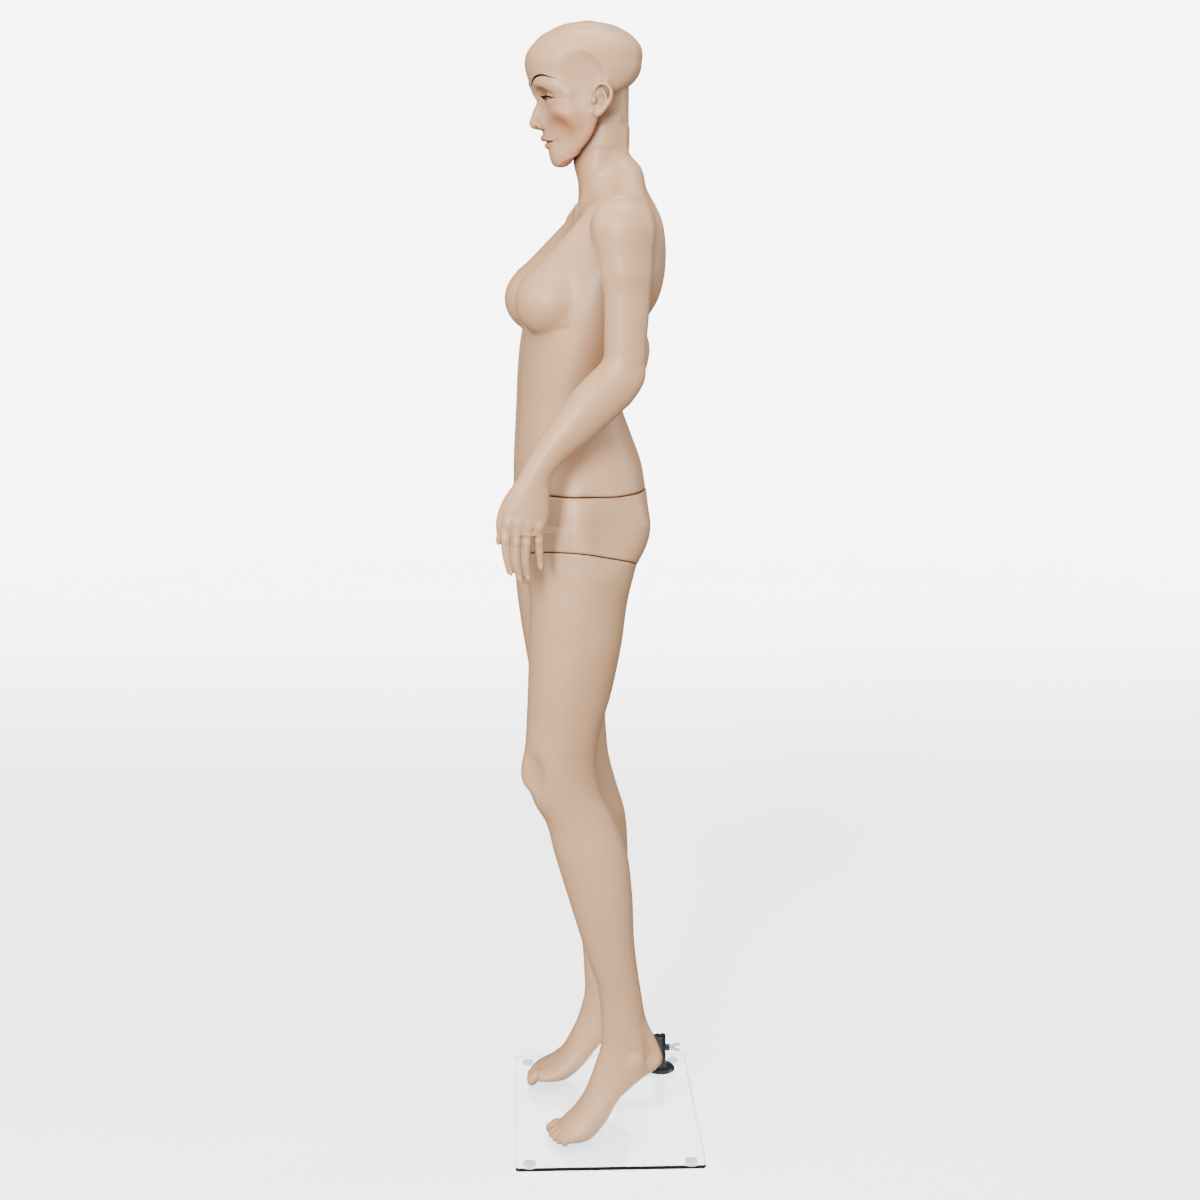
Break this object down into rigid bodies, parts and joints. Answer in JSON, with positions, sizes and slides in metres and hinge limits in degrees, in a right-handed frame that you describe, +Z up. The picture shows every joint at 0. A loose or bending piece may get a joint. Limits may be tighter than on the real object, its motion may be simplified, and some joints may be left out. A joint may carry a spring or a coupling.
{
  "type": "full body display mannequin",
  "caption": "Standing female display mannequin of hollow moulded plastic, with turning head and arms, lift-off torso and hips, held by a heel spigot on a glass base plate",
  "frame": {"origin": "on the floor under the centre of the glass base plate, level with the undersides of its pads", "axes": "+Z up, along the figure; -Y is the front edge of the plate, which the figure faces turned 7 degrees to its own left; +X is the figure's left"},
  "size_m": [0.4391, 0.3249, 1.75],
  "materials": {
    "body_shell": "satin skin-tone polyethylene, faint mould lines",
    "head_shell": "satin skin-tone polyethylene with airbrushed make-up",
    "clear_glass": "clear tempered glass, dark teal edge",
    "pad_rubber": "soft translucent grey",
    "black_enamel": "gloss black enamel",
    "steel": "zinc-plated, lightly brushed",
    "nylon": "natural moulded nylon"
  },
  "bodies": {
    "stand": {"glass_base": "clear_glass", "base_pads": "pad_rubber", "stand_flange": "black_enamel", "flange_gasket": "pad_rubber", "flange_bolt": "steel", "flange_washer": "nylon"},
    "wing_screw": {"wing_screw": "steel"},
    "heel_arm": {"heel_arm": "black_enamel", "heel_spigot": "steel", "spigot_nut": "steel"},
    "lower_body": {"hips_shell": "body_shell", "left_leg_shell": "body_shell", "right_leg_shell": "body_shell", "heel_bush": "nylon", "left_leg_lock": "nylon", "right_leg_lock": "nylon", "left_leg_stud": "nylon", "right_leg_stud": "nylon", "left_leg_screws": "steel", "right_leg_screws": "steel", "waist_socket": "nylon", "waist_socket_screws": "steel"},
    "torso": {"torso_shell": "body_shell", "waist_peg": "nylon", "waist_peg_screws": "steel", "neck_pivot": "nylon", "neck_pivot_cap": "nylon", "left_shoulder_socket": "nylon", "right_shoulder_socket": "nylon", "left_shoulder_screws": "steel", "right_shoulder_screws": "steel"},
    "head": {"head_shell": "head_shell", "head_plate": "nylon"},
    "left_arm": {"left_arm_shell": "body_shell", "left_arm_stud": "steel", "left_arm_screws": "steel"},
    "right_arm": {"right_arm_shell": "body_shell", "right_arm_stud": "steel", "right_arm_screws": "steel"}
  },
  "joints": [
    {"name": "wing_screw_turn", "type": "hinge", "parent": "stand", "child": "wing_screw", "pos_m": [-0.138, 0.12, 0.05], "axis": [0, 1, 0], "continuous": true},
    {"name": "heel_arm_swing", "type": "hinge", "parent": "stand", "child": "heel_arm", "pos_m": [-0.138, 0.103, 0.062], "axis": [0, 0, 1], "range_deg": [-10, 10]},
    {"name": "figure_lift", "type": "slide", "parent": "heel_arm", "child": "lower_body", "axis": [0, 0, 1], "range_m": [0, 0.085]},
    {"name": "torso_lift", "type": "slide", "parent": "lower_body", "child": "torso", "axis": [0, 0, 1], "range_m": [0, 0.05]},
    {"name": "head_turn", "type": "hinge", "parent": "torso", "child": "head", "pos_m": [-0.00301, -0.01548, 1.665], "axis": [0, 0, 1], "range_deg": [-90, 90]},
    {"name": "left_arm_swing", "type": "hinge", "parent": "torso", "child": "left_arm", "pos_m": [0.14324, 0.00781, 1.45], "axis": [-0.9925, -0.1219, 0], "range_deg": [-35, 100]},
    {"name": "right_arm_swing", "type": "hinge", "parent": "torso", "child": "right_arm", "pos_m": [-0.15055, -0.02826, 1.45], "axis": [-0.9925, -0.1219, 0], "range_deg": [-15, 120]}
  ]
}
